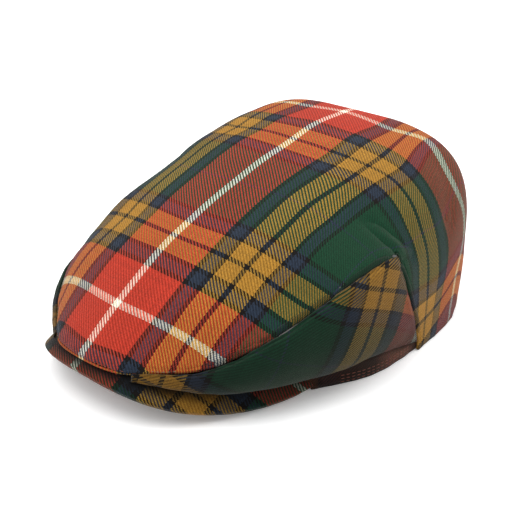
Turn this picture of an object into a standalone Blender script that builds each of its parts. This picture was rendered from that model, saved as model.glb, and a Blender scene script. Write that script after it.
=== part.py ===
"""A flat cap of woven cloth, lying on its rim: crown panels, tucked hems and a stiff curved peak.

Metres, +Z up, peak towards -Y, the wearer's left at +X, the origin on the floor at the middle.
"""

import math

import bmesh
import bpy
import numpy as np
from mathutils import Matrix, Vector
from mathutils.bvhtree import BVHTree

# Driving dimensions
HALF_WIDTH = 0.104          # half the width over the hems
CROWN_LENGTH = 0.2395       # from the stitched front edge to the back of the rim
CROWN_HEIGHT = 0.098        # from the floor to the top of the crown
CLOTH_WALL = 0.002          # thickness of a crown panel
SEAM_GAP = 0.0003           # clearance between pieces that touch
SIDE_BULGE = 0.007          # how far a side panel swells past its seams
LIP_DEPTH = 0.0115          # how far a side panel turns under its lower fold
LIP_DROP = 0.0012           # how far the turned edge hangs below the fold
HEM_WALL = 0.0024           # thickness of the tucked strip
PEAK_THICKNESS = 0.0045     # cloth, board and cloth again
PEAK_BOW = 0.0015           # rise of the peak between its two edges
DENT_RADIUS = 0.012         # reach of a dent in the crown
DENT_DEPTH = 0.0026         # depth of the deepest dent
ROUND_POWER = 3.1           # squareness of the rim seen from above
SHOULDER_POWER = 2.7        # squareness of the crown's shoulders
RIGHT_SQUEEZE = 0.3         # share by which the soft right side is pressed in at its widest
RIGHT_SAG = 0.06            # share by which the crown sinks there
RING_SHARE = 0.4            # share of the rim's own curve in the fall of a section around the back
SWELL_POWER = 0.8           # fullness of the side panel's swell
LIP_TURN = 0.9              # walls from the fold to the first point of the turned edge
LEAST_LIP = 1.5             # walls from the fold to the end of the turned edge, at least
SEAM_EASE = 0.1             # walls more that the strip keeps from the rear seam

# Crown sections from the front edge to the rim at the back.
# y is a share of CROWN_LENGTH from the front edge, x of HALF_WIDTH, z of CROWN_HEIGHT.
# "round" turns a flat section across the cap (0) into a ring around its back (1).
CROWN_COLUMNS = ("mid_y", "mid_z", "seam_x", "seam_y", "seam_z", "round")
CROWN_SECTIONS = (
    (0.0, 0.261, 0.231, 0.017, 0.251, 0.0),
    (0.001, 0.296, 0.279, 0.03, 0.267, 0.0),
    (0.017, 0.324, 0.365, 0.058, 0.271, 0.0),
    (0.056, 0.39, 0.51, 0.102, 0.288, 0.0),
    (0.106, 0.471, 0.615, 0.144, 0.337, 0.0),
    (0.165, 0.563, 0.702, 0.184, 0.403, 0.0),
    (0.219, 0.638, 0.767, 0.24, 0.457, 0.0),
    (0.282, 0.706, 0.817, 0.301, 0.52, 0.0),
    (0.349, 0.76, 0.861, 0.357, 0.578, 0.05),
    (0.424, 0.812, 0.889, 0.424, 0.624, 0.1),
    (0.507, 0.865, 0.913, 0.507, 0.651, 0.2),
    (0.599, 0.918, 0.925, 0.553, 0.649, 0.45),
    (0.691, 0.963, 0.955, 0.554, 0.582, 0.65),
    (0.783, 0.992, 0.981, 0.562, 0.464, 0.8),
    (0.872, 1.002, 0.995, 0.574, 0.352, 0.9),
    (0.948, 0.984, 1.0, 0.591, 0.255, 1.0),
    (0.999, 0.876, 1.0, 0.601, 0.184, 1.0),
    (1.016, 0.635, 1.0, 0.61, 0.122, 1.0),
    (1.014, 0.34, 1.0, 0.616, 0.066, 1.0),
    (1.0, 0.0, 1.0, 0.62, 0.0, 1.0),
)
SIDE_START = 1              # crown section where the side panel's tip begins
APEX_SECTION = 11           # crown section where side seam and rear seam meet
SIDE_END = 18               # crown section where the side panel's fold meets the rear seam

# Lower fold of the side panel, one row for each crown section from SIDE_START to APEX_SECTION.
# "bulge" is a share of SIDE_BULGE, "lip" of LIP_DEPTH and "wall" of CLOTH_WALL.
FOLD_COLUMNS = ("x", "y", "z", "bulge", "lip", "wall")
FOLD_SECTIONS = (
    (0.288, 0.023, 0.226, 0.05, 0.3, 0.45),
    (0.375, 0.052, 0.205, 0.25, 0.5, 0.7),
    (0.519, 0.104, 0.178, 0.5, 0.75, 1.0),
    (0.605, 0.145, 0.162, 0.7, 0.85, 1.0),
    (0.68, 0.195, 0.149, 0.85, 0.92, 1.0),
    (0.769, 0.265, 0.136, 1.0, 1.0, 1.0),
    (0.851, 0.336, 0.124, 1.0, 0.9, 1.0),
    (0.928, 0.395, 0.143, 1.0, 0.75, 1.0),
    (0.976, 0.461, 0.157, 0.95, 0.56, 1.0),
    (0.998, 0.532, 0.128, 0.6, 0.46, 1.0),
    (1.0, 0.616, 0.066, 0.0, 0.4, 1.0),
)
HEM_START = 7.0             # crown section where the strip begins, at the tip of the peak

# Peak sections from the middle to the tip: the lower outer edge and the upper inner edge.
PEAK_COLUMNS = ("out_x", "out_y", "out_z", "in_x", "in_y", "in_z")
PEAK_SECTIONS = (
    (0.0, -0.015, 0.199, 0.0, 0.198, 0.429),
    (0.192, -0.006, 0.177, 0.163, 0.207, 0.413),
    (0.346, 0.025, 0.122, 0.298, 0.228, 0.362),
    (0.481, 0.073, 0.066, 0.423, 0.259, 0.291),
    (0.596, 0.136, 0.026, 0.529, 0.296, 0.219),
    (0.692, 0.207, 0.008, 0.615, 0.318, 0.135),
    (0.755, 0.286, 0.005, 0.683, 0.333, 0.083),
    (0.774, 0.34, 0.005, 0.721, 0.347, 0.056),
)

# Dents in the crown, or swells where "depth" is below 0. x is a share of HALF_WIDTH, y and z as above,
# "depth" of DENT_DEPTH.
DENT_COLUMNS = ("x", "y", "z", "depth")
DENTS = (
    (0.84, 0.6, 0.7, 1.0),
    (-0.84, 0.6, 0.7, 0.8),
    (0.66, 0.3, 0.6, 0.3),
    (-0.66, 0.34, 0.68, -0.8),
)

# Mesh counts
STEPS = 2                   # rows of faces between two sections of a table
HALF_COLUMNS = 11           # faces across half the crown
PEAK_ROWS = 5               # faces across the peak
HEM_STEPS = 3               # faces of the strip between two sections

# Places around a point of the strip's foot where the peak below it is felt for
FOOT_SHIFTS = [(x * HEM_WALL, y * HEM_WALL, 0) for x in (-1, 0, 1) for y in (-1, 0, 1)]

CLOTH_COLOURS = {
    "top_panel": (0.36, 0.05, 0.03, 1.0),
    "side_panel": (0.3, 0.09, 0.04, 1.0),
    "hem": (0.16, 0.1, 0.05, 1.0),
    "peak": (0.2, 0.05, 0.03, 1.0),
}


def smooth_column(values, steps):
    """Values of one table column with `steps` even steps between rows, on a Catmull-Rom curve."""
    values = np.asarray(values, dtype=float)
    padded = np.concatenate([[2 * values[0] - values[1]], values, [2 * values[-1] - values[-2]]])
    result = []
    for row in range(len(values) - 1):
        a, b, c, d = padded[row:row + 4]
        for step in range(steps):
            t = step / steps
            result.append(0.5 * (2 * b + (c - a) * t + (2 * a - 5 * b + 4 * c - d) * t ** 2
                                 + (3 * b - a - 3 * c + d) * t ** 3))
    result.append(values[-1])
    return np.array(result)


def table(columns, rows, steps):
    """A dictionary of smoothed columns."""
    return {name: smooth_column([row[i] for row in rows], steps) for i, name in enumerate(columns)}


def place(x, y, z):
    """Metres from shares of the cap's sizes."""
    return np.stack(np.broadcast_arrays(x * HALF_WIDTH, y * CROWN_LENGTH, z * CROWN_HEIGHT), -1)


def unit(vectors):
    """Vectors of length one."""
    return vectors / np.maximum(np.linalg.norm(vectors, axis=-1, keepdims=True), 1e-12)


def grid_normals(grid):
    """Unit normals of a grid of points, rows by columns."""
    return unit(np.cross(np.gradient(grid, axis=1), np.gradient(grid, axis=0)))


def crown_grid():
    """Outer points of the top panel, from the wearer's right border to the left one."""
    section = table(CROWN_COLUMNS, CROWN_SECTIONS, STEPS)
    middle = place(np.zeros_like(section["mid_y"]), section["mid_y"], section["mid_z"])
    border = place(section["seam_x"], section["seam_y"], section["seam_z"])
    across = np.abs(np.arange(-HALF_COLUMNS, HALF_COLUMNS + 1)) / HALF_COLUMNS
    side = np.sign(np.arange(-HALF_COLUMNS, HALF_COLUMNS + 1))
    ring_x = np.sin(across * math.pi / 2) ** (2 / ROUND_POWER)
    ring_y = 1 - np.cos(across * math.pi / 2) ** (2 / ROUND_POWER)
    flat_y = across ** 2
    flat_z = across ** SHOULDER_POWER
    turn = section["round"][:, None]
    x = side * border[:, None, 0] * ((1 - turn) * across + turn * ring_x)
    y_share = (1 - turn) * flat_y + turn * ring_y
    z_share = (1 - turn) * flat_z + turn * ((1 - RING_SHARE) * flat_z + RING_SHARE * ring_y)
    y = middle[:, None, 1] + (border - middle)[:, None, 1] * y_share
    z = middle[:, None, 2] + (border - middle)[:, None, 2] * z_share
    return np.stack([x, y, z], -1)


def side_grid(crown):
    """Outer points of the left side panel: rows from its tip to the rear seam, columns down to the fold."""
    fold = table(FOLD_COLUMNS, FOLD_SECTIONS, STEPS)
    seam = crown[SIDE_START * STEPS:APEX_SECTION * STEPS + 1, -1]
    rear = crown[APEX_SECTION * STEPS:SIDE_END * STEPS + 1, -1]
    bottom = place(fold["x"], fold["y"], fold["z"])
    bottom[-1] = rear[-1]
    along = np.linspace(0, 1, len(seam))[:, None, None]
    down = np.linspace(0, 1, len(rear))[None, :, None]
    tip = seam[0] + (bottom[0] - seam[0]) * down
    ruled = (1 - down) * seam[:, None] + down * bottom[:, None]
    spanned = (1 - along) * tip + along * rear[None]
    corners = ((1 - along) * (1 - down) * seam[0] + along * (1 - down) * seam[-1]
               + (1 - along) * down * bottom[0] + along * down * bottom[-1])
    grid = ruled + spanned - corners
    swell = SIDE_BULGE * fold["bulge"][:, None, None] * np.sin(math.pi * down) ** SWELL_POWER
    return grid + swell * grid_normals(grid), fold


def turned_under(grid, lip):
    """The lip below the fold, as two more columns of points and the directions that point inwards."""
    edge = grid[:, -1]
    run = unit(np.gradient(edge, axis=0) * (1, 1, 0))
    inward = np.stack([-run[:, 1], run[:, 0], np.zeros(len(run))], -1)
    drop = np.array((0, 0, -LIP_DROP))
    first = edge + inward * CLOTH_WALL * LIP_TURN + drop
    last = edge + inward * np.maximum(lip, CLOTH_WALL * LEAST_LIP)[:, None] + drop
    return np.stack([first, last], 1), inward


def add_dents(grid):
    """The crown's points pressed in along their normals at each dent."""
    normals = grid_normals(grid)
    pressed = grid.copy()
    for row in DENTS:
        dent = dict(zip(DENT_COLUMNS, row))
        centre = place(dent["x"], dent["y"], dent["z"])
        distance = np.linalg.norm(grid - centre, axis=-1)
        depth = DENT_DEPTH * dent["depth"] * np.exp(-(distance / DENT_RADIUS) ** 2)
        pressed -= normals * depth[..., None]
    border = (slice(None), (0, -1))
    pressed[border] = grid[border]
    return pressed


def solid_from_grids(name, outer, inner, colour):
    """One closed body between two grids of points."""
    bm = bmesh.new()
    layers = [[[bm.verts.new(point) for point in row] for row in slumped(grid)] for grid in (outer, inner)]
    rows, columns = len(outer), len(outer[0])
    for layer in layers:
        for i in range(rows - 1):
            for j in range(columns - 1):
                bm.faces.new((layer[i][j], layer[i + 1][j], layer[i + 1][j + 1], layer[i][j + 1]))
    rim = [(i, 0) for i in range(rows)] + [(rows - 1, j) for j in range(1, columns)]
    rim += [(i, columns - 1) for i in range(rows - 2, -1, -1)] + [(0, j) for j in range(columns - 2, 0, -1)]
    for here, there in zip(rim, rim[1:] + rim[:1]):
        corners = [layers[0][here[0]][here[1]], layers[0][there[0]][there[1]],
                   layers[1][there[0]][there[1]], layers[1][here[0]][here[1]]]
        bm.faces.new(corners)
    bmesh.ops.recalc_face_normals(bm, faces=bm.faces)
    if bm.calc_volume(signed=True) < 0:
        bmesh.ops.reverse_faces(bm, faces=bm.faces)
    bmesh.ops.triangulate(bm, faces=bm.faces, quad_method="SHORT_EDGE")
    return finish_object(name, bm, colour)


def finish_object(name, bm, colour):
    """Write a bmesh to a new object with its own material."""
    mesh = bpy.data.meshes.new(name)
    bm.to_mesh(mesh)
    bm.free()
    mesh.shade_smooth()
    material = bpy.data.materials.new(name + "_cloth")
    material.use_nodes = True
    shader = material.node_tree.nodes["Principled BSDF"]
    shader.inputs["Base Color"].default_value = CLOTH_COLOURS[colour]
    shader.inputs["Roughness"].default_value = 0.9
    shader.inputs["Metallic"].default_value = 0.0
    mesh.materials.append(material)
    piece = bpy.data.objects.new(name, mesh)
    bpy.context.scene.collection.objects.link(piece)
    return piece


def mirrored(grid):
    """The same grid on the wearer's right."""
    return grid * (-1, 1, 1)


def slumped(grid):
    """The points as the soft cap lies, its right side pressed in and sunk."""
    result = grid.copy()
    share = np.minimum(grid[..., 0] / HALF_WIDTH, 0)
    result[..., 0] = grid[..., 0] * (1 - RIGHT_SQUEEZE * share ** 2)
    result[..., 2] = grid[..., 2] * (1 - RIGHT_SAG * share ** 2)
    return result


def make_peak():
    """The stiff peak. Returns a tree of its upper faces, on which the crown is seated."""
    half = table(PEAK_COLUMNS, PEAK_SECTIONS, STEPS)
    lower_edge = place(half["out_x"], half["out_y"], half["out_z"])
    upper_edge = place(half["in_x"], half["in_y"], half["in_z"])
    lower_edge = np.concatenate([mirrored(lower_edge[:0:-1]), lower_edge])
    upper_edge = np.concatenate([mirrored(upper_edge[:0:-1]), upper_edge])
    across = np.linspace(0, 1, PEAK_ROWS + 1)[:, None]
    inner_edge = upper_edge - (0, 0, PEAK_THICKNESS)
    bottom = np.stack([start + (end - start) * across + (0, 0, PEAK_BOW) * np.sin(math.pi * across)
                       for start, end in zip(lower_edge, inner_edge)])
    normals = grid_normals(bottom)
    normals *= np.sign(normals[..., 2:])
    top = bottom + normals * PEAK_THICKNESS
    solid_from_grids("peak", top, bottom, "peak")
    cells = [(i, j) for i in range(len(top) - 1) for j in range(PEAK_ROWS)]
    step = PEAK_ROWS + 1
    faces = [(i * step + j, (i + 1) * step + j, (i + 1) * step + j + 1, i * step + j + 1) for i, j in cells]
    return BVHTree.FromPolygons([Vector(point) for point in top.reshape(-1, 3)], faces)


def peak_height(tree, point):
    """Height of the peak's upper face at a point's place, or None beside the peak."""
    hit = tree.ray_cast(Vector((point[0], point[1], CROWN_HEIGHT)), Vector((0, 0, -1)))[0]
    return None if hit is None else hit.z


def lift_off_peak(tree, points, clearance):
    """Raise the points that would lie in the peak or closer to it than the clearance."""
    for point in points.reshape(-1, 3):
        height = peak_height(tree, point)
        if height is not None and point[2] < height + clearance:
            point[2] = height + clearance


def make_top_panel(crown, normals, tree):
    """The panel over the crown, its front edge seated on the peak."""
    outer = crown.copy()
    inner = crown - normals * CLOTH_WALL
    for skin in (outer, inner):
        skin[:, 0] += unit(skin[:, 1] - skin[:, 0]) * SEAM_GAP / 2
        skin[:, -1] += unit(skin[:, -2] - skin[:, -1]) * SEAM_GAP / 2
        for point in skin[0]:
            height = peak_height(tree, point)
            if height is not None:
                point[2] = height + SEAM_GAP
        skin[-1, :, 2] = 0
    lift_off_peak(tree, inner[:STEPS * SIDE_START + 1], SEAM_GAP)
    solid_from_grids("top_panel", outer, inner, "top_panel")


def make_side_panels(outer, normals, walls, tree):
    """Both side panels, from the grid of the left one."""
    inner = outer - normals * (walls * CLOTH_WALL)[:, None, None]
    outer = outer.copy()
    for skin in (outer, inner):
        skin[:, 0] += unit(skin[:, 1] - skin[:, 0]) * SEAM_GAP / 2
        skin[-1] += unit(skin[-2] - skin[-1]) * SEAM_GAP / 2
        lift_off_peak(tree, skin, SEAM_GAP * 2)
    solid_from_grids("side_panel_left", outer, inner, "side_panel")
    solid_from_grids("side_panel_right", mirrored(outer), mirrored(inner), "side_panel")


def make_hems(fold, fold_edge, inward, tree):
    """The strips under the side panels, standing on the peak and on the floor."""
    first = int((HEM_START - SIDE_START) * STEPS)
    lips = np.maximum(fold["lip"] * LIP_DEPTH, CLOTH_WALL * LEAST_LIP)[first:]
    edge = fold_edge[first:]
    towards = inward[first:]
    inside = edge + towards * lips[:, None]
    path = np.stack([smooth_column(column, HEM_STEPS) for column in inside.T], -1)
    towards = unit(np.stack([smooth_column(column, HEM_STEPS) for column in towards.T], -1))
    skins = []
    for depth in (HEM_WALL, 0.0):
        plan = path - towards * depth
        top = plan + (0, 0, -LIP_DROP - SEAM_GAP)
        foot = plan * (1, 1, 0)
        for point in foot:
            reached = [peak_height(tree, point + np.array(shift)) for shift in FOOT_SHIFTS]
            reached = [height for height in reached if height is not None]
            if reached:
                point[2] = max(reached) + SEAM_GAP
        skins.append(np.stack([top, foot], 1))
    for skin in skins:
        skin[-1] += unit(skin[-2] - skin[-1]) * (SEAM_GAP / 2 + CLOTH_WALL * SEAM_EASE)
    feet = np.maximum(skins[0][:, 1, 2], skins[1][:, 1, 2])
    for skin in skins:
        skin[:, 1, 2] = feet
    solid_from_grids("hem_left", skins[0], skins[1], "hem")
    solid_from_grids("hem_right", mirrored(skins[0]), mirrored(skins[1]), "hem")


def centre_over_origin(pieces):
    """Move all pieces together, so that the middle of their common box is over the origin."""
    corners = [vertex.co for piece in pieces for vertex in piece.data.vertices]
    middle = [(min(c[axis] for c in corners) + max(c[axis] for c in corners)) / 2 for axis in (0, 1)]
    for piece in pieces:
        piece.data.transform(Matrix.Translation((-middle[0], -middle[1], 0)))


def main():
    """Build the cap."""
    for item in list(bpy.context.scene.objects):
        bpy.data.objects.remove(item, do_unlink=True)
    crown = add_dents(crown_grid())
    side, fold = side_grid(crown)
    lip, inward = turned_under(side, fold["lip"] * LIP_DEPTH)
    fold_edge = side[:, -1].copy()
    side = np.concatenate([side, lip], 1)
    crown_normals = grid_normals(crown)
    crown_normals *= np.sign(crown_normals[len(crown) // 2, HALF_COLUMNS, 2])
    side_normals = grid_normals(side)
    side_normals *= np.sign(side_normals[len(side) // 2, 3, 0])
    seam = slice(SIDE_START * STEPS, APEX_SECTION * STEPS + 1)
    rear = slice(APEX_SECTION * STEPS, SIDE_END * STEPS + 1)
    seam_normals = unit(crown_normals[seam, -1] + side_normals[:, 0])
    rear_normals = unit(crown_normals[rear, -1] + side_normals[-1, :-2])
    crown_normals[seam, -1] = seam_normals
    crown_normals[rear, -1] = rear_normals
    crown_normals[:, 0] = crown_normals[:, -1] * (-1, 1, 1)
    side_normals[:, 0] = seam_normals
    side_normals[-1, :-2] = rear_normals
    tree = make_peak()
    make_top_panel(crown, crown_normals, tree)
    make_side_panels(side, side_normals, fold["wall"], tree)
    make_hems(fold, fold_edge, inward, tree)
    centre_over_origin(list(bpy.context.scene.objects))


main()
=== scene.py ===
import math

import bmesh
import bpy
import numpy as np
from mathutils import Matrix, Vector, noise
from mathutils.bvhtree import BVHTree
from mathutils.kdtree import KDTree


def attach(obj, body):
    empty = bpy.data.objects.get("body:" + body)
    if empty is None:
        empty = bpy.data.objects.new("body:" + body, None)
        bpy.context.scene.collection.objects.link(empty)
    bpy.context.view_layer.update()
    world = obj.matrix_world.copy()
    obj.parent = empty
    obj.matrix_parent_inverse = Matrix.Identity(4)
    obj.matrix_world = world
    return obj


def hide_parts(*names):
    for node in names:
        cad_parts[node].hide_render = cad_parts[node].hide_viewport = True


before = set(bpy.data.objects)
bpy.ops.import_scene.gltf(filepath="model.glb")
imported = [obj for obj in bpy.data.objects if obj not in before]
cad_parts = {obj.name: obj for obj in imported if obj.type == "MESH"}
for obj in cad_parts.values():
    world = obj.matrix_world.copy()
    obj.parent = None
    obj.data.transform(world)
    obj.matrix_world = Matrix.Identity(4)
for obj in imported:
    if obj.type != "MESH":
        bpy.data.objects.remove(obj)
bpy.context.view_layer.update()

print("frame loaded:", ", ".join(sorted(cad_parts)))

# The check: threads from the middle of the white line to the middle of the green band, where it turns back
cloth = {
    "threadSpacing": 0.55,     # mm, a medium wool twill
    "halfRepeat": 180,
    "bands": [("white", 4), ("red", 40), ("black", 4), ("blue", 12), ("black", 4), ("yellow", 20), ("black", 4),
              ("yellow", 20), ("black", 4), ("blue", 12), ("black", 4), ("green", 50), ("blue", 2)],
    "yarns": {"white": "#F2ECDA", "red": "#C1422D", "black": "#120D0C", "blue": "#2D3A4C", "yellow": "#B48935",
              "green": "#11482F"},
}


def linearColour(code):
    channels = [int(code[i:i + 2], 16) / 255 for i in (1, 3, 5)]
    return tuple(c / 12.92 if c <= 0.04045 else ((c + 0.055) / 1.055) ** 2.4 for c in channels) + (1.0,)


def addNode(tree, kind, settings=None, **inputs):
    # a node with its settings, its inputs given as values or as sockets to link from
    node = tree.nodes.new("ShaderNode" + kind)
    for name, value in (settings or {}).items():
        setattr(node, name, value)
    for name, value in inputs.items():
        key = int(name[1:]) if name[0] == "i" and name[1:].isdigit() else name.replace("_", " ")
        if isinstance(value, bpy.types.NodeSocket):
            tree.links.new(value, node.inputs[key])
        else:
            node.inputs[key].default_value = value
    return node


def newMaterial(name, roughness, specular=0.5, ior=1.5):
    material = bpy.data.materials.new(name)
    material.use_nodes = True
    shader = material.node_tree.nodes["Principled BSDF"]
    shader.inputs["Roughness"].default_value = roughness
    shader.inputs["Specular IOR Level"].default_value = specular
    shader.inputs["IOR"].default_value = ior
    return material, material.node_tree, shader


def setRamp(node):
    # hard steps from band to band
    ramp = node.color_ramp
    ramp.interpolation = "CONSTANT"
    start = 0
    for i, (yarn, threads) in enumerate(cloth["bands"]):
        stop = ramp.elements[i] if i < 2 else ramp.elements.new(1.0)
        stop.position = start / cloth["halfRepeat"]
        start += threads
    for stop, (yarn, threads) in zip(sorted(ramp.elements, key=lambda s: s.position), cloth["bands"]):
        stop.color = linearColour(cloth["yarns"][yarn])


weave = {
    "roughness": 0.9, "specular": 0.1, "ior": 1.53, "sheen": 0.1, "sheenTint": (0.9, 0.82, 0.74, 1.0),
    "turn": 4.0, "over": 1.5,           # threads to a rib, and how far of it one thread lies on top
    "underShade": 0.42,                 # painted shade: how strongly a thread is darkened by the colour of the one below
    "threadLight": (0.86, 1.12), "fibreLight": (0.5, 1.5), "gapLight": (0.55, 1.08), "ribLight": (0.68, 1.2),
    "fibreScale": 0.7, "fuzz": 0.5, "relief": 0.00025,
    "wearScale": 32.0, "wearLight": (0.94, 1.06),
    "fadedColour": "#86796A",
    # beside a seam: a rolled edge 0.8 mm wide, a stitched groove at 1.9 mm, then the cloth's own level
    "seamWidth": 0.004, "seamRelief": 0.0009,
    "seamShape": [(0.0, 0.2), (0.1, 0.9), (0.28, 1.0), (0.46, 0.0), (0.66, 0.75), (1.0, 0.7)],
}


def woolTwill(name, shade=1.0, edgeRelief=0.7, shadeWidth=0.0014, edgeShade=0.65, faded=0.0):
    # Worsted wool twill, woven two over two under: matt with a soft nap, diagonal ribs, each thread a little
    # lighter or darker than the next. The UV map is in threads / 1000.
    # shade darkens a piece's whole cloth; below 1 on the side panels, seam rolls, hems and peak it is painted
    # shade, darker copies of the crown's cloth
    material, tree, shader = newMaterial(name, weave["roughness"], weave["specular"], weave["ior"])
    shader.inputs["Sheen Weight"].default_value = weave["sheen"]
    shader.inputs["Sheen Roughness"].default_value = 0.5
    shader.inputs["Sheen Tint"].default_value = weave["sheenTint"]
    place = addNode(tree, "UVMap", {"uv_map": "cloth"}).outputs["UV"]
    threads = addNode(tree, "VectorMath", {"operation": "SCALE"}, i0=place, Scale=1000.0).outputs[0]
    split = addNode(tree, "SeparateXYZ", None, i0=threads)
    index, across, colours = [], [], []
    half = float(cloth["halfRepeat"])
    for axis in (0, 1):
        whole = addNode(tree, "Math", {"operation": "FLOOR"}, i0=split.outputs[axis]).outputs[0]
        part = addNode(tree, "Math", {"operation": "SUBTRACT"}, i0=split.outputs[axis], i1=whole).outputs[0]
        # round top of a thread: 1 in its middle, 0 at its edges
        wide = addNode(tree, "Math", {"operation": "MULTIPLY"}, i0=part, i1=math.pi).outputs[0]
        across.append(addNode(tree, "Math", {"operation": "SINE"}, i0=wide).outputs[0])
        middle = addNode(tree, "Math", {"operation": "ADD"}, i0=whole, i1=0.5).outputs[0]
        folded = addNode(tree, "Math", {"operation": "PINGPONG"}, i0=middle, i1=half).outputs[0]
        share = addNode(tree, "Math", {"operation": "DIVIDE"}, i0=folded, i1=half).outputs[0]
        ramp = addNode(tree, "ValToRGB", None, Fac=share)
        setRamp(ramp)
        # every thread was dyed and spun a little unevenly
        uneven = addNode(tree, "TexWhiteNoise", {"noise_dimensions": "1D"}, W=middle).outputs["Value"]
        low, high = weave["threadLight"]
        light = addNode(tree, "MapRange", None, i0=uneven, i3=low, i4=high).outputs[0]
        dyed = addNode(tree, "VectorMath", {"operation": "SCALE"}, i0=ramp.outputs[0], Scale=light)
        colours.append(dyed.outputs[0])
        index.append(whole)
    # two over, two under, one thread further in every row
    steps = addNode(tree, "Math", {"operation": "ADD"}, i0=index[0], i1=index[1]).outputs[0]
    turn = addNode(tree, "Math", {"operation": "FLOORED_MODULO"}, i0=steps, i1=weave["turn"]).outputs[0]
    over = addNode(tree, "Math", {"operation": "LESS_THAN"}, i0=turn, i1=weave["over"]).outputs[0]
    woven = addNode(tree, "Mix", {"data_type": "RGBA"}, i0=over, i6=colours[0], i7=colours[1]).outputs[2]
    # painted shade: each thread is darkened by the colour of the thread below it, most where that one is dark
    under = addNode(tree, "Mix", {"data_type": "RGBA"}, i0=over, i6=colours[1], i7=colours[0]).outputs[2]
    woven = addNode(tree, "Mix", {"data_type": "RGBA", "blend_type": "MULTIPLY"},
                    i0=weave["underShade"], i6=woven, i7=under).outputs[2]
    if faded:
        pale = linearColour(weave["fadedColour"])
        woven = addNode(tree, "Mix", {"data_type": "RGBA"}, i0=faded, i6=woven, i7=pale).outputs[2]
    height = addNode(tree, "Mix", {"data_type": "FLOAT"}, i0=over, i2=across[0], i3=across[1]).outputs[0]
    # wool fibres in several shades, spun together
    spun = addNode(tree, "TexNoise", None, Vector=threads, Scale=weave["fibreScale"], Detail=4.0,
                   Roughness=0.75)
    fibre = spun.outputs["Fac"]
    low, high = weave["fibreLight"]
    melange = addNode(tree, "MapRange", None, i0=fibre, i1=0.25, i2=0.75, i3=low, i4=high).outputs[0]
    # gaps between threads lie in shade
    low, high = weave["gapLight"]
    gap = addNode(tree, "MapRange", None, i0=height, i3=low, i4=high).outputs[0]
    tone = addNode(tree, "Math", {"operation": "MULTIPLY"}, i0=melange, i1=gap).outputs[0]
    # painted light and shade of the twill's ribs, one every four threads: lighter and darker diagonal bands
    slope = addNode(tree, "Math", {"operation": "ADD"}, i0=split.outputs[0], i1=split.outputs[1]).outputs[0]
    wave = addNode(tree, "Math", {"operation": "MULTIPLY"}, i0=slope, i1=2 * math.pi / weave["turn"]).outputs[0]
    rib = addNode(tree, "Math", {"operation": "SINE"}, i0=wave).outputs[0]
    low, high = weave["ribLight"]
    paintedRibShade = addNode(tree, "MapRange", None, i0=rib, i1=-1.0, i2=1.0, i3=low, i4=high).outputs[0]
    tone = addNode(tree, "Math", {"operation": "MULTIPLY"}, i0=tone, i1=paintedRibShade).outputs[0]
    # broad wear: patches of 30 mm where the nap is rubbed lighter; times shade, the piece's painted shade
    spot = addNode(tree, "TexCoord").outputs["Object"]
    broad = addNode(tree, "TexNoise", None, Vector=spot, Scale=weave["wearScale"], Detail=2.0).outputs["Fac"]
    low, high = weave["wearLight"]
    wearAndPaintedShade = addNode(tree, "MapRange", None, i0=broad, i1=0.3, i2=0.7,
                     i3=low * shade, i4=high * shade).outputs[0]
    tone = addNode(tree, "Math", {"operation": "MULTIPLY"}, i0=tone, i1=wearAndPaintedShade).outputs[0]
    # the cloth beside a seam lies in the seam's shade
    edge = addNode(tree, "Attribute", {"attribute_name": "edgeDistance"}).outputs["Fac"]
    dark = addNode(tree, "MapRange", {"interpolation_type": "SMOOTHSTEP"},
                   i0=edge, i1=0.0, i2=shadeWidth, i3=edgeShade, i4=1.0).outputs[0]
    tone = addNode(tree, "Math", {"operation": "MULTIPLY"}, i0=tone, i1=dark).outputs[0]
    # places that hardly any light reaches, under a fold
    deep = addNode(tree, "Attribute", {"attribute_name": "deepShade"}).outputs["Fac"]
    lit = addNode(tree, "Math", {"operation": "SUBTRACT"}, i0=1.0, i1=deep).outputs[0]
    tone = addNode(tree, "Math", {"operation": "MULTIPLY"}, i0=tone, i1=lit).outputs[0]
    final = addNode(tree, "VectorMath", {"operation": "SCALE"}, i0=woven, Scale=tone).outputs[0]
    tree.links.new(final, shader.inputs["Base Color"])
    fuzz = addNode(tree, "Math", {"operation": "MULTIPLY_ADD"},
                   i0=fibre, i1=weave["fuzz"], i2=height).outputs[0]
    bump = addNode(tree, "Bump", None, Height=fuzz, Strength=0.55, Distance=weave["relief"])
    near = addNode(tree, "MapRange", None, i0=edge, i1=0.0, i2=weave["seamWidth"], i3=0.0, i4=1.0).outputs[0]
    profile = addNode(tree, "ValToRGB", None, Fac=near)
    profile.color_ramp.interpolation = "B_SPLINE"
    for i, (where, level) in enumerate(weave["seamShape"]):
        stop = profile.color_ramp.elements[i] if i < 2 else profile.color_ramp.elements.new(where)
        stop.position, stop.color = where, (level, level, level, 1)
    rolled = addNode(tree, "Bump", None, Height=profile.outputs[0], Strength=edgeRelief,
                     Distance=weave["seamRelief"], Normal=bump.outputs[0])
    tree.links.new(rolled.outputs[0], shader.inputs["Normal"])
    return material


def plainThread(name, code):
    # Sewing thread, spun polyester: a faint gloss, fine twisted ply
    material, tree, shader = newMaterial(name, 0.6, 0.4, 1.55)
    place = addNode(tree, "TexCoord").outputs["Object"]
    ply = addNode(tree, "TexNoise", None, Vector=place, Scale=2600.0, Detail=2.0).outputs["Fac"]
    light = addNode(tree, "MapRange", None, i0=ply, i3=0.7, i4=1.25).outputs[0]
    colour = addNode(tree, "VectorMath", {"operation": "SCALE"}, i0=linearColour(code)[:3], Scale=light)
    tree.links.new(colour.outputs[0], shader.inputs["Base Color"])
    bump = addNode(tree, "Bump", None, Height=ply, Strength=0.4, Distance=0.0001)
    tree.links.new(bump.outputs[0], shader.inputs["Normal"])
    return material


def finishPiece(piece, material):
    piece.data.materials.append(material)
    piece.data.shade_smooth()
    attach(piece, "root")
    return piece


# how a solid's mesh becomes smooth cloth: metres and degrees
skin = {"mergeWithin": 0.00001, "sharpFrom": 50, "creaseKept": 0.75, "flatWithin": 60, "squareWithin": 120}


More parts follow.
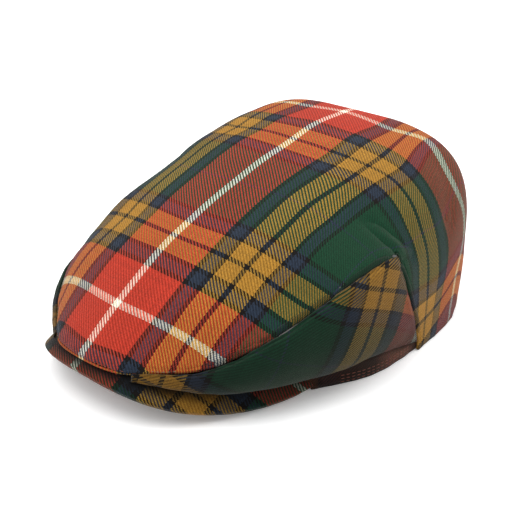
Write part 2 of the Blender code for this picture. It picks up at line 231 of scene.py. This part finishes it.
def smoothCopy(nodeName, pieceName, levels):
    # the node's loose triangles, merged to a closed skin, back to quads, and smoothed; and its sharp edges
    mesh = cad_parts[nodeName].data.copy()
    bm = bmesh.new()
    bm.from_mesh(mesh)
    bmesh.ops.remove_doubles(bm, verts=bm.verts, dist=skin["mergeWithin"])
    crease = bm.edges.layers.float.new("crease_edge")
    sharp = []
    for edge in bm.edges:
        if edge.calc_face_angle(0) > math.radians(skin["sharpFrom"]):
            edge[crease] = skin["creaseKept"]    # cut edges stay narrow, so that seams stay shut
            sharp.append((edge.verts[0].co.copy(), edge.verts[1].co.copy()))
    bmesh.ops.join_triangles(bm, faces=bm.faces, cmp_seam=False, cmp_sharp=False, cmp_uvs=False,
                             cmp_vcols=False, cmp_materials=False,
                             angle_face_threshold=math.radians(skin["flatWithin"]),
                             angle_shape_threshold=math.radians(skin["squareWithin"]))
    bm.to_mesh(mesh)
    bm.free()
    mesh.materials.clear()
    rough = bpy.data.objects.new(pieceName + "Rough", mesh)
    bpy.context.scene.collection.objects.link(rough)
    smoother = rough.modifiers.new("smooth", "SUBSURF")
    smoother.levels = smoother.render_levels = levels
    bpy.context.view_layer.update()
    shape = bpy.data.meshes.new_from_object(rough.evaluated_get(bpy.context.evaluated_depsgraph_get()))
    bpy.data.objects.remove(rough)
    piece = bpy.data.objects.new(pieceName, shape)
    bpy.context.scene.collection.objects.link(piece)
    print(pieceName, "smoothed to", len(shape.polygons), "faces")
    return piece, sharp


def distancesTo(points, piece):
    # how far every point of a piece is from the nearest of some points
    tree = KDTree(len(points))
    for i, point in enumerate(points):
        tree.insert(point, i)
    tree.balance()
    return np.array([tree.find(v.co)[2] for v in piece.data.vertices])


def edgeDistances(piece, sharp):
    # how far every point is from the nearest cut or folded edge
    points = []
    for start, end in sharp:
        count = max(2, int((end - start).length / 0.001))
        points += [start.lerp(end, i / count) for i in range(count + 1)]
    return distancesTo(points, piece)


def storeValues(piece, values, name="edgeDistance"):
    layer = piece.data.attributes.new(name, "FLOAT", "POINT")
    layer.data.foreach_set("value", values.astype(np.float32))


def charted(places, chart):
    # thread numbers at any place, on the smoothest sheet through the chart's rows (thin plate)
    rows = np.array(chart, float)
    known, threads = rows[:, :3], rows[:, 3:]

    def kernel(a, b):
        gap = np.linalg.norm(a[:, None] - b[None], axis=-1)
        return gap ** 2 * np.log(np.maximum(gap, 1e-9))
    count = len(rows)
    flat = np.hstack([np.ones((count, 1)), known])
    system = np.block([[kernel(known, known), flat], [flat.T, np.zeros((4, 4))]])
    weights = np.linalg.solve(system, np.vstack([threads, np.zeros((4, 2))]))
    result = []
    for part in np.array_split(places, max(1, len(places) // 4000)):    # in parts, to spare memory
        slopes = np.hstack([np.ones((len(part), 1)), part])
        result.append(kernel(part, known) @ weights[:count] + slopes @ weights[count:])
    return np.concatenate(result)


def storeThreads(piece, threads):
    # the UV map holds thread numbers / 1000
    mesh = piece.data
    layer = mesh.uv_layers.new(name="cloth")
    corners = np.zeros(len(mesh.loops), int)
    mesh.loops.foreach_get("vertex_index", corners)
    layer.data.foreach_set("uv", (threads[corners] / 1000).astype(np.float32).ravel())


def placesOf(piece):
    places = np.zeros(len(piece.data.vertices) * 3)
    piece.data.vertices.foreach_get("co", places)
    return places.reshape(-1, 3)


def creased(piece, creases):
    # soft folds: start and end in mm, depth in mm, half width in mm
    spots = placesOf(piece) * 1000
    offset = np.zeros(len(spots))
    for start, end, depth, width in creases:
        start, line = np.array(start, float), np.array(end, float) - np.array(start, float)
        share = np.clip((spots - start) @ line / (line @ line), 0, 1)
        gap = np.linalg.norm(spots - start - share[:, None] * line, axis=1)
        offset -= depth * np.exp(-(gap / width) ** 2) * (0.35 + 0.65 * share)
    shifted(piece, offset)


def shifted(piece, offset):
    # move every point along its normal, mm
    normals = np.zeros(len(piece.data.vertices) * 3)
    piece.data.vertices.foreach_get("normal", normals)
    places = placesOf(piece) + normals.reshape(-1, 3) * offset[:, None] / 1000
    piece.data.vertices.foreach_set("co", places.ravel())
    piece.data.update()


# the sizes of waves in cloth, in waves a metre, and how far from a seam it puckers, in metres
waves = {"broad": 45, "small": 130, "seamReach": 0.012, "riseAt": 2.6}


def puckered(piece, distances, settings):
    # cloth dips into its seams, rises just beside them, and is nowhere quite flat
    width = settings["dipWidth"]
    offset = -settings["dip"] * np.exp(-(distances / width) ** 2)
    offset += settings["rise"] * np.exp(-((distances - waves["riseAt"] * width) / width) ** 2)
    spots = [Vector(spot) for spot in placesOf(piece)]
    offset += settings["wave"] * np.array([noise.noise(spot * waves["broad"]) for spot in spots])
    near = np.exp(-(distances / waves["seamReach"]) ** 2)
    offset += settings["pucker"] * near * np.array([noise.noise(spot * waves["small"]) for spot in spots])
    shifted(piece, offset)


def newPiece(name, bm, material):
    mesh = bpy.data.meshes.new(name)
    bm.to_mesh(mesh)
    bm.free()
    piece = bpy.data.objects.new(name, mesh)
    bpy.context.scene.collection.objects.link(piece)
    return finishPiece(piece, material)


def stitchRow(name, path, settings, material):
    # a row of short raised stitches along a path of places and outward directions
    bm = bmesh.new()
    places = np.array([p for p, n in path])
    run = np.concatenate([[0], np.cumsum(np.linalg.norm(np.diff(places, axis=0), axis=1))])
    at = settings["pitch"] / 2
    while at < run[-1]:
        i = min(int(np.searchsorted(run, at)), len(run) - 1)
        middle = Vector(places[i - 1]).lerp(Vector(places[i]), (at - run[i - 1]) / (run[i] - run[i - 1]))
        along = Vector(places[i] - places[i - 1]).normalized()
        outward = Vector(path[i][1]).normalized()
        aside = outward.cross(along).normalized()
        outward = along.cross(aside)
        turn = Matrix((along, aside, outward)).transposed().to_4x4()
        size = Matrix.Diagonal((settings["length"] / 2, settings["width"] / 2, settings["width"] / 2.6, 1))
        bmesh.ops.create_uvsphere(bm, u_segments=8, v_segments=5, radius=1,
                                  matrix=Matrix.Translation(middle + outward * settings["lift"]) @ turn @ size
                                  @ Matrix.Rotation(math.pi / 2, 4, "Y"))
        at += settings["pitch"]
    return newPiece(name, bm, material)


# Camera: at the photograph's viewing angle
view = {"place": (0.28844, -0.33671, 0.2762), "azimuth": 40.72, "elevation": 28.34, "lens": 61.22}
lens = bpy.data.cameras.new("camera")
lens.lens = view["lens"]
lens.sensor_width = 36
lens.clip_start = 0.01
camera = bpy.data.objects.new("camera", lens)
camera.location = view["place"]
camera.rotation_euler = (math.radians(90 - view["elevation"]), 0, math.radians(view["azimuth"]))
bpy.context.scene.collection.objects.link(camera)
bpy.context.scene.camera = camera
print("camera placed")

# Crown, one cloth from the peak to the back.
# Chart rows: a place in mm, then the lengthwise and the crosswise thread number there
crown = {
    "levels": 2,
    "dip": 0.2, "dipWidth": 0.0016, "rise": 0.25, "wave": 0.5, "pucker": 0.6,
    "flat": (0.34, 0.35), "area": 0.0665,   # m and m2, the cloth as it was cut
    "creases": [((60, 11, 78), (79, 18, 64), 3.2, 4.0), ((71, 31, 73), (80, 24, 60), 1.0, 4.0),
                ((64, 78, 86), (79, 62, 66), 1.2, 5.0), ((-74, 12, 76), (-86, 19, 62), 1.6, 4.5)],
    "chart": [
        (-71.2, -106.6, 14.7, -51.8, -118.4), (-59.6, -110.6, 21.8, -56.7, -87.2),
        (-44.6, -111.7, 27.1, -53.6, -54.1),
        (-16, -117.4, 30.2, -54.6, 0.2), (10.7, -111.3, 27.8, -53.5, 53.8), (27.8, -110.6, 22, -57.5, 88.4),
        (42.8, -106.6, 15, -53.2, 121.3), (-72.5, -83.6, 32.3, 2.9, -117.8), (-61.4, -87.9, 40.7, -0.1, -86.4),
        (-45, -91.2, 45, -0.1, -53.7), (-16.7, -93.7, 46.1, -0, -0.1), (13.2, -91.5, 44.5, -0.2, 54.2),
        (28.7, -88.7, 41.1, -0.1, 85.8), (46.7, -84.6, 33.1, 0.1, 124), (-73.2, -60.6, 49.9, 55.6, -122.3),
        (-60.5, -62.6, 55.3, 57.3, -91), (-44.5, -67.2, 60.5, 53.8, -54.1), (-16.4, -67.8, 61.9, 54.2, -0),
        (14.1, -67.2, 60.3, 54, 54), (31.3, -65.2, 57.6, 53.9, 86), (47.8, -62.6, 52.5, 53.9, 118.4),
        (-73.2, -46.6, 58.7, 86, -124.1), (-56.5, -50, 66.1, 85.8, -84.9), (-44.2, -51.3, 67.9, 86.1, -54.3),
        (-16.6, -52.6, 68.8, 86.1, -0.1), (14.5, -51.3, 67.7, 86, 54.3), (30.8, -49.6, 65.4, 86.1, 85.7),
        (47.3, -47.9, 60.3, 86.1, 117.7), (-73.2, -30.6, 63.6, 119.3, -124.1),
        (-60.5, -31.6, 69.2, 121.4, -89.1),
        (-46.3, -35.2, 73.3, 118.1, -54.4), (-16.6, -37.4, 73.9, 117.8, 0.1), (13.4, -35.2, 73.6, 118, 54),
        (31.1, -34, 71.6, 118, 85.8), (49.1, -32.8, 67.3, 117.8, 118.6), (-87.8, -2.6, 66.6, 172.7, -170.6),
        (-73.2, 2.4, 72.4, 185.3, -122.4), (-61.3, -0.6, 80, 182.6, -84.4), (-48.4, -4.2, 81.8, 179.7, -54.1),
        (-16.9, -3.8, 83.2, 180, 0.3), (12.1, -1.9, 83.1, 180.1, 53.8), (30.5, -1.3, 81.4, 180, 85.6),
        (49.9, -1.5, 76.9, 179.8, 118.7), (71, -0.1, 67.8, 180.1, 179), (-89.9, 25.7, 34.2, 237.3, -241.7),
        (-87.6, 31.4, 59.1, 241.5, -187.2), (-75.2, 34.4, 81, 247.3, -125), (-63.7, 33.4, 86.8, 249.3, -94),
        (-48.6, 30, 90.3, 242.5, -54.9), (-16.8, 29.7, 91.1, 242.3, 0.1), (15.7, 28.6, 90.5, 241.8, 53.9),
        (36, 31.1, 89.4, 242.9, 86.2), (52.4, 29.2, 85.5, 241.8, 117.8), (77.9, 25.7, 65.1, 242.7, 181),
        (-90, 26.4, 4.7, 251.1, -289.4), (86.2, 25.7, 36.4, 251, 240.6), (86.8, 26.4, 5, 253.9, 291.6),
        (-86.6, 49.4, 57.4, 280.6, -192.3), (-75.2, 51.4, 82.9, 282.2, -127.2), (-57.5, 43, 92, 272.6, -84.3),
        (-45.5, 45.4, 93.5, 274.2, -54.2), (-16.1, 45.2, 94.1, 273.5, 0.3), (17.4, 44.2, 93.6, 273.6, 54.3),
        (36.6, 43.7, 92, 273.1, 85.8), (54.4, 44.5, 88, 274.6, 117.8), (78.2, 36.9, 67.6, 272.9, 179.1),
        (86.3, 34, 35.7, 273, 241.8), (-89.9, 44.4, 4.7, 300.8, -297.7), (-46, 63.1, 95.9, 306.3, -54.5),
        (-18, 65.4, 96.9, 306.4, -0.4), (15.3, 64.2, 96.4, 306.8, 53.4), (36.7, 61.3, 94.4, 306.3, 86.1),
        (55.3, 58, 89.7, 306, 118.6), (79.3, 52.6, 67.5, 306.4, 181), (86.2, 50, 36.4, 306.9, 243.3),
        (86.3, 44.4, 5, 303, 301), (-86.6, 66.4, 57.4, 321.2, -197.4), (-75.2, 69.4, 82.9, 320.4, -128.8),
        (-62.9, 67.4, 89.8, 315.2, -94.4), (-89.7, 68.1, 25.7, 349.9, -271.1),
        (-87.8, 77.3, 70.2, 345.5, -181.8),
        (-86.1, 78.5, 76.8, 345.9, -167.5), (-89.7, 67, 13.9, 357.6, -287.2),
        (-89.5, 72.8, 34.6, 353.7, -252.9),
        (-89, 80.5, 44.3, 364.2, -228.7), (-88.9, 80.2, 53.2, 357.8, -212.4),
        (-88.5, 79.9, 61.7, 353.9, -196.8),
        (-82.4, 82.3, 83.9, 350.2, -148.8), (-78.2, 87.4, 88, 357.5, -133.2), (-71.4, 94.3, 91.3, 367.7, -113),
        (-41.8, 88.8, 97.6, 358.9, -53.2), (-16.9, 95.6, 98.1, 360.5, -0.4), (19.3, 87.6, 97.5, 358.8, 55.3),
        (31.8, 90.4, 96.4, 359.6, 85), (43.1, 94.3, 93.2, 361.7, 109.4), (53.7, 87.4, 90.5, 359.7, 132.7),
        (61.7, 82.3, 86.9, 359.6, 149.8), (70.3, 78.5, 80.2, 359.7, 170.8), (75.6, 77.3, 73.7, 359, 187.1),
        (78.3, 79.9, 65, 360.5, 203.9), (79.9, 80.2, 56.1, 359.6, 219.8), (80.8, 80.5, 46.8, 361.6, 236.7),
        (83.2, 72.8, 36.6, 359.5, 259.5), (84.4, 68.1, 27.3, 358.7, 277.8), (84.6, 67, 14.7, 360.3, 300.2),
        (-61.3, 96.4, 92.8, 370.8, -89.9), (-46.4, 110.4, 90.5, 398.7, -56.3), (-17.2, 110.9, 92, 394.5, 0.1),
        (12.8, 110.4, 91, 397.8, 51.4), (72.8, 102.4, 52, 409, 198.2), (-87.8, 98.4, 32.4, 425.5, -215),
        (-86.9, 102.4, 49.7, 415.4, -185.6), (-73.9, 113.4, 69.4, 425.8, -120.3),
        (-61.3, 117.4, 75.1, 428.1, -85.5),
        (-46.4, 119.4, 77.6, 428.6, -53.2), (-17.2, 120.4, 78, 428.2, 1.3), (12.8, 119.4, 78, 427.9, 53.4),
        (29.8, 117.4, 76, 426.3, 84.8), (46.8, 113.4, 71, 423.4, 120.2), (75.8, 98.4, 34, 417.4, 230.8),
        (-87.6, 94.4, 7.6, 447.5, -244.1), (74.8, 94.4, 8, 439.3, 262.6), (-74.5, 116.4, 47.9, 463.5, -126),
        (-61.3, 120.4, 52.4, 469, -85.6), (47.8, 116.4, 49, 464.2, 123.2), (-46.4, 122.4, 53.7, 471.3, -51.8),
        (-17.2, 123.4, 54, 471.7, 1.4), (12.8, 122.4, 54, 471.7, 52.3), (29.8, 120.4, 53, 470, 83.4),
        (-74.5, 113.4, 24.4, 499.4, -137.4), (47.8, 113.4, 25, 502.7, 129.6),
        (-62.1, 119.4, 27.6, 515.7, -89.3),
        (-46.4, 121.4, 28.9, 518.8, -51.2), (-17.2, 122.4, 29, 519, 1.3), (12.8, 121.4, 29, 519.5, 51),
        (30.8, 119.4, 28, 518, 85.2), (-74.5, 110.4, 2, 532.1, -150.9), (47.8, 110.4, 2, 535.8, 143.1),
        (-62.1, 115.4, 2, 555.6, -99.6), (-46.4, 118.4, 2, 565.3, -56.4), (-17.2, 119.4, 2, 565.9, 0.1),
        (12.8, 118.4, 2, 566, 54), (30.8, 115.4, 2, 558.7, 92.2),
    ],
}
topCloth = woolTwill("worstedWoolTwillCrown")
crownTop, crownSharp = smoothCopy("top_panel", "crownTop", crown["levels"])
storeThreads(crownTop, charted(placesOf(crownTop) * 1000, crown["chart"]))
crownDistances = edgeDistances(crownTop, crownSharp)
storeValues(crownTop, crownDistances)
creased(crownTop, crown["creases"])
puckered(crownTop, crownDistances, crown)
finishPiece(crownTop, topCloth)
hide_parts("top_panel")
print("crown made")

# The crown's front edge is turned and stitched to the peak: a thin roll, and a row of stitches above it
frontEdge = {"from": -40, "to": 6, "steps": 47, "rollRadius": 0.0005, "rollOut": 0.0003,
             "threadColour": "#6E3826",
             "rollHeight": 0.0008, "rollOffset": (20, 0),   # m, and threads by which its cloth is shifted
             "stitchHeight": 0.0021, "pitch": 0.0031, "length": 0.0021, "width": 0.00042, "lift": 0.00005,
             "near": 5.0, "foremost": 2.5, "tries": 6, "tryStep": 0.0004, "middle": -17.2, "turning": 90}


def treeOf(piece):
    bm = bmesh.new()
    bm.from_mesh(piece.data)
    tree = BVHTree.FromBMesh(bm)
    bm.free()
    return tree


def frontPath(tree, sharp, height):
    # places on the crown's face at a height above its front edge, and their outward directions
    rim = np.array([p for edge in sharp for p in edge]) * 1000
    rim = rim[(rim[:, 1] < -75) & (rim[:, 0] < 34)]
    path = []
    for x in np.linspace(frontEdge["from"], frontEdge["to"], frontEdge["steps"]):
        close = rim[np.abs(rim[:, 0] - x) < frontEdge["near"]]
        if not len(close):
            continue
        front = close[close[:, 1] < close[:, 1].min() + frontEdge["foremost"]]
        outward = Vector(((x - frontEdge["middle"]) / frontEdge["turning"], -1, 0)).normalized()
        for lift in range(frontEdge["tries"]):
            level = front[:, 2].min() / 1000 + height + lift * frontEdge["tryStep"]
            hit = tree.ray_cast(Vector((x / 1000, -0.06, level)) + outward * 0.2, -outward)
            if hit[0] is not None and hit[0].y < -0.09:
                path.append((np.array(hit[0]), np.array(hit[1])))
                break
    return path


# where the seams between the crown and the side panels run, m
seams = {"middle": 0.0172, "past": 0.026, "before": 0.012, "above": 0.022, "from": -0.108, "to": 0.008,
         "steps": 70, "near": 0.004, "up": (0.0011, 0.0009), "degree": 8,
         "gap": 0.0022, "aside": 0.02, "centre": (-0.02, 0.008), "turns": 90, "turnNear": 0.035}


def seamPath(tree, sharp, side):
    # places on the crown beside its seam with a side panel, and their outward directions
    rim = np.array([p for edge in sharp for p in edge])
    out = side * (rim[:, 0] + seams["middle"])
    rim = rim[(out > seams["past"]) & (rim[:, 1] < seams["before"]) & (rim[:, 2] > seams["above"])]
    path = []
    for y in np.linspace(seams["from"], seams["to"], seams["steps"]):
        close = rim[np.abs(rim[:, 1] - y) < seams["near"]]
        if len(close):
            top = close[np.argmax(close[:, 2])]
            near = tree.find_nearest(Vector(top) + Vector((-side * seams["up"][0], 0, seams["up"][1])))
            path.append((np.array(near[0]), np.array(near[1])))
    return smoothPath(path, seams["degree"])


def jointPath(tree, sharpA, sharpB, side):
    # the middle of the joint between two cloths, from the front tip over the apex to the rear corner
    one, other = (np.array([p for edge in sharp for p in edge]) for sharp in (sharpA, sharpB))
    gaps = np.linalg.norm(one[:, None] - other[None], axis=-1)
    near = gaps.min(axis=1) < seams["gap"]
    middles = (one[near] + other[gaps.argmin(axis=1)[near]]) / 2
    middles = middles[side * (middles[:, 0] + seams["middle"]) > seams["aside"]]
    turns = np.arctan2(middles[:, 2] - seams["centre"][1], seams["centre"][0] - middles[:, 1])
    path = []
    for turn in np.linspace(turns.min(), turns.max(), seams["turns"]):
        close = middles[np.abs(turns - turn) < seams["turnNear"]]
        if len(close):
            spot = close.mean(axis=0)
            path.append((spot, np.array(tree.find_nearest(Vector(spot))[1])))
    for evening in range(2):
        path = [path[0]] + [tuple((a[k] + b[k] + c[k]) / 3 for k in (0, 1))
                            for a, b, c in zip(path, path[1:], path[2:])] + [path[-1]]
    return path


def smoothPath(path, degree=6):
    # an even curve through measured places
    places = np.array([p for p, n in path])
    normals = np.array([n for p, n in path])
    along = np.linspace(-1, 1, len(path))
    places, normals = (np.stack([np.polyval(np.polyfit(along, column, degree), along)
                                 for column in table.T], -1) for table in (places, normals))
    return list(zip(places, normals))


def roll(name, path, radius, outward, material):
    # a thin turned edge: a round tube along a path
    bm = bmesh.new()
    rings = []
    places = np.array([p + n * outward for p, n in path])
    for i, (place, (spot, normal)) in enumerate(zip(places, path)):
        along = Vector(places[min(i + 1, len(places) - 1)] - places[max(i - 1, 0)]).normalized()
        aside = Vector(normal).cross(along).normalized()
        turn = Matrix((aside, aside.cross(along), along)).transposed().to_4x4()
        taper = min(1.0, 0.25 + min(i, len(places) - 1 - i) / 3)
        ring = bmesh.ops.create_circle(bm, segments=10, radius=radius * taper,
                                       matrix=Matrix.Translation(place) @ turn)
        rings.append(ring["verts"])
    for a, b in zip(rings, rings[1:]):
        edges = [e for ring in (a, b) for e in {e for v in ring for e in v.link_edges}
                 if e.verts[0] in ring and e.verts[1] in ring]
        bmesh.ops.bridge_loops(bm, edges=edges)
    for ring in (rings[0], rings[-1]):
        bmesh.ops.contextual_create(bm, geom=ring)
    bmesh.ops.recalc_face_normals(bm, faces=bm.faces)
    return newPiece(name, bm, material)


crownTree = treeOf(crownTop)
brownThread = plainThread("polyesterSewingThreadBrown", frontEdge["threadColour"])
lowPath = smoothPath(frontPath(crownTree, crownSharp, frontEdge["rollHeight"]))
rollCloth = woolTwill("worstedWoolTwillRoll", 0.85, 0.0)
frontRoll = roll("frontRoll", lowPath, frontEdge["rollRadius"], frontEdge["rollOut"], rollCloth)
storeThreads(frontRoll, charted(placesOf(frontRoll) * 1000, crown["chart"]) - frontEdge["rollOffset"])
storeValues(frontRoll, np.full(len(frontRoll.data.vertices), 0.01))
stitchRow("frontStitches", smoothPath(frontPath(crownTree, crownSharp, frontEdge["stitchHeight"])), frontEdge,
          brownThread)
# the olive stitches' colour is their thread's, lightened to paint the highlights that catch them
seamStitch = {"pitch": 0.0027, "length": 0.0016, "width": 0.00034, "lift": -0.00003, "threadColour": "#6E6A52"}
seamThread = plainThread("polyesterSewingThreadOlive", seamStitch["threadColour"])
for side, name in ((1, "seamStitchesLeft"), (-1, "seamStitchesRight")):
    stitchRow(name, seamPath(crownTree, crownSharp, side), seamStitch, seamThread)
print("front edge made")

sides = {
    "levels": 2,
    "dip": 0.3, "dipWidth": 0.0016, "rise": 0.2, "wave": 0.8, "pucker": 0.5,
    "chart": [
        (84.3, -7.7, 54.6, 85.8, 86.9), (82.2, -3.5, 58.9, 73.6, 87.5), (86, -11.3, 49.5, 99.5, 85),
        (87, -17.4, 44.6, 115.9, 87.8), (86.1, 7.7, 47.7, 85.2, 55), (82.7, -30.1, 47.1, 119.9, 117.2),
        (89.6, -3.8, 36.9, 117.9, 55.3), (80, -18.1, 58.4, 86.7, 115), (39.6, -96.2, 25.7, 242.5, 243.2),
        (25.6, -105.6, 23.1, 267.3, 273.4), (72.5, -40.3, 53.2, 117.6, 150.6),
        (68.1, -66.3, 33.8, 180.7, 178.8),
        (87.5, -23.8, 32.1, 148.3, 85.7), (88.7, 14.2, 24.9, 118.7, 22.3), (87.6, 18.9, 14, 133.5, 9.4),
    ],
    "flat": (0.075, 0.165), "area": 0.007,
    "lowShade": 0.7, "lowTo": 0.052, "seamRadius": 0.002, "seamOut": -0.0019,
    "squeeze": 0.3, "sag": 0.06, "halfWidth": 104.0, "shift": (-17.16, -5.61),   # as the right side lies
}


def mirroredRow(row):
    # a chart row's place on the wearer's right
    x, y, z = row[0] - sides["shift"][0], row[1], row[2]
    share = min(x / sides["halfWidth"], 1)
    across = -x * (1 - sides["squeeze"] * share ** 2) + sides["shift"][0]
    return across, y, z * (1 - sides["sag"] * share ** 2), row[3], row[4]


# painted shade: the side panels' cloth at 0.62 of the crown's, as they face away from the light
sideCloth = woolTwill("worstedWoolTwillSides", 0.62)
# painted shade: the seam rolls' cloth at 0.55, dark as the joints lie in shade
seamCloth = woolTwill("worstedWoolTwillSeams", 0.55, 0.0)
sidePieces = {}
for nodeName, pieceName, right in (("side_panel_left", "sideLeft", False),
                                   ("side_panel_right", "sideRight", True)):
    chart = [mirroredRow(row) for row in sides["chart"]] if right else sides["chart"]
    piece, sharp = smoothCopy(nodeName, pieceName, sides["levels"])
    threads = charted(placesOf(piece) * 1000, chart) * ((1, 1) if right else (1, -1))
    storeThreads(piece, threads)
    distances = edgeDistances(piece, sharp)
    storeValues(piece, distances)
    # painted shade: the side panels darken towards their foot, to 0.3 at the floor, fading out by 52 mm up
    shade = sides["lowShade"] * (1 - placesOf(piece)[:, 2] / sides["lowTo"])
    storeValues(piece, np.clip(shade, 0, 1), "deepShade")
    puckered(piece, distances, sides)
    finishPiece(piece, sideCloth)
    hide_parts(nodeName)
    sidePieces[nodeName] = piece
    # the seam allowances, pressed together behind the joint, in the cloth darkened as painted shade
    path = jointPath(crownTree, crownSharp, sharp, -1 if right else 1)
    joint = roll(pieceName + "Seam", path, sides["seamRadius"], sides["seamOut"], seamCloth)
    storeThreads(joint, charted(placesOf(joint) * 1000, crown["chart"]))
    storeValues(joint, np.full(len(joint.data.vertices), 0.01))
print("side panels made")

# Hems: the strips tucked under the side panels, with three stitched rows
hems = {
    "levels": 2, "dip": 0.1, "dipWidth": 0.001, "rise": 0.0, "wave": 0.25, "pucker": 0.2,
    "redAt": (-23.0, 2.6), "rise52": 5.5, "greenAt": 5.0,
    "rows": (1.6, 3.6, 5.6), "stitchFrom": -24, "stitchTo": 24,
    "pitch": 0.0031, "length": 0.0022, "width": 0.0005, "lift": 0.00008,
    "flat": (0.016, 0.075), "area": 0.001,
    "darkTo": 7.0, "darkOver": 12.0, "darkBy": 0.85,
    "frontFrom": -20.0, "frontBy": 0.42, "frontIn": 0.12, "rearFrom": 16.0, "rearBy": 0.35,
}
# painted shade: the hems' cloth at 0.66, and down to 0.3 within 4 mm of its edges, under the side panels'
# overhang
hemCloth = woolTwill("worstedWoolTwillHems", 0.66, 0.2, 0.004, 0.3, 0.12)
for nodeName, pieceName in (("hem_left", "hemLeft"), ("hem_right", "hemRight")):
    piece, sharp = smoothCopy(nodeName, pieceName, hems["levels"])
    # its ends are tucked behind the peak's tip and the crown's corner
    spots = placesOf(piece) * 1000
    front = np.maximum(hems["frontFrom"] - spots[:, 1], 0)
    rear = np.maximum(spots[:, 1] - hems["rearFrom"], 0)
    spots[:, 1] += hems["rearBy"] * rear - hems["frontBy"] * front
    spots[:, 0] -= np.sign(spots[:, 0]) * hems["frontIn"] * front
    piece.data.vertices.foreach_set("co", (spots / 1000).ravel())
    red = hems["redAt"][1] + (spots[:, 1] - hems["redAt"][0]) * hems["rise52"] / 52
    down = (red - spots[:, 2]) / cloth["threadSpacing"] + 24
    along = (spots[:, 1] - hems["greenAt"]) / cloth["threadSpacing"] + cloth["halfRepeat"]
    storeThreads(piece, np.stack([down, along], 1))
    distances = edgeDistances(piece, sharp)
    storeValues(piece, distances)
    # painted shade under the side panel's overhang: the hem darkens towards its front end, to 0.15 of its
    # colour
    share = np.clip((hems["darkTo"] - spots[:, 1]) / hems["darkOver"], 0, 1)
    storeValues(piece, hems["darkBy"] * share, "deepShade")
    puckered(piece, distances, hems)
    finishPiece(piece, hemCloth)
    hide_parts(nodeName)
    hemTree = treeOf(piece)
    side = 1 if nodeName == "hem_left" else -1
    for row, level in enumerate(hems["rows"]):
        path = []
        for y in np.linspace(hems["stitchFrom"], hems["stitchTo"], 40):
            hit = hemTree.ray_cast(Vector((side * 0.2, y / 1000, level / 1000)), Vector((-side, 0, 0)))
            if hit[0] is not None:
                path.append((np.array(hit[0]), np.array(hit[1])))
        stitchRow(pieceName + "Stitches" + str(row + 1), smoothPath(path, 4), hems, brownThread)
print("hems made")

# Peak: board with cloth over and under it
peakSettings = {
    "levels": 2, "dip": 0.0, "dipWidth": 0.001, "rise": 0.0, "wave": 0.2, "pucker": 0.1,
    "whiteAt": (-17.2, -45.0),    # mm, where two white lines would cross
    "gap": 0.001,
    "wrap": 0.6, "slope": 0.2,    # the cloth runs over the peak and down its edge
}
# painted shade: the peak's cloth at 0.66 of the crown's, as it lies low under the crown
peakCloth = woolTwill("worstedWoolTwillPeak", 0.66, 0.0, 0.006, 0.08)
peak, peakSharp = smoothCopy("peak", "peakCover", peakSettings["levels"])
spots = placesOf(peak) * 1000
forward = spots[:, 1] - peakSettings["whiteAt"][1]
lengthwise = forward + peakSettings["wrap"] * (spots[:, 2] - 5 + forward * peakSettings["slope"])
crosswise = spots[:, 0] - peakSettings["whiteAt"][0]
storeThreads(peak, np.stack([lengthwise, crosswise], 1) / cloth["threadSpacing"])
peakDistances = edgeDistances(peak, peakSharp)
# the cloth above throws a deep, narrow shade on it
cover = np.concatenate([placesOf(crownTop)] + [placesOf(piece) for piece in sidePieces.values()])
cover = cover[(cover[:, 1] < -0.02) & (cover[:, 2] < 0.045)]
storeValues(peak, np.maximum(distancesTo(cover, peak) - peakSettings["gap"], 0))
puckered(peak, peakDistances, peakSettings)
finishPiece(peak, peakCloth)
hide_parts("peak")
print("peak made")

# Floor and light: a white table under large soft lamps; the table also glows faintly, painted light
studio = {"floor": "#FFFFFF", "glow": 0.14, "world": 0.5,
          "key": 7.0, "keyPlace": (-0.55, -0.6, 0.9), "keySize": 0.9,
          "top": 15.0, "topPlace": (0.0, 0.05, 1.2), "topSize": 1.4,
          "back": 6.0, "backPlace": (0.6, 0.9, 0.8), "backSize": 0.8}
tableTop, _, tableShader = newMaterial("whiteMattGlowingTable", 0.9, 0.1)
tableShader.inputs["Base Color"].default_value = linearColour(studio["floor"])
# the table glows faintly though it is no lamp: painted light that lifts the shadows round the cap and lights
# its underside
tableShader.inputs["Emission Color"].default_value = (1, 1, 1, 1)
tableShader.inputs["Emission Strength"].default_value = studio["glow"]
bm = bmesh.new()
bmesh.ops.create_grid(bm, x_segments=1, y_segments=1, size=6)
floorMesh = bpy.data.meshes.new("floor")
bm.to_mesh(floorMesh)
bm.free()
floor = bpy.data.objects.new("floor", floorMesh)
floorMesh.materials.append(tableTop)
bpy.context.scene.collection.objects.link(floor)
for name in ("key", "top", "back"):
    lamp = bpy.data.lights.new(name, "AREA")
    lamp.energy = studio[name]
    lamp.size = studio[name + "Size"]
    lampObject = bpy.data.objects.new(name, lamp)
    lampObject.location = studio[name + "Place"]
    lampObject.rotation_euler = (Vector((0, 0, 0.04)) - lampObject.location).to_track_quat("-Z", "Y").to_euler()
    bpy.context.scene.collection.objects.link(lampObject)
world = bpy.data.worlds.new("studio")
world.use_nodes = True
world.node_tree.nodes["Background"].inputs["Color"].default_value = (1, 1, 1, 1)
world.node_tree.nodes["Background"].inputs["Strength"].default_value = studio["world"]
bpy.context.scene.world = world
bpy.context.scene.view_settings.view_transform = "Standard"
print("studio lit")
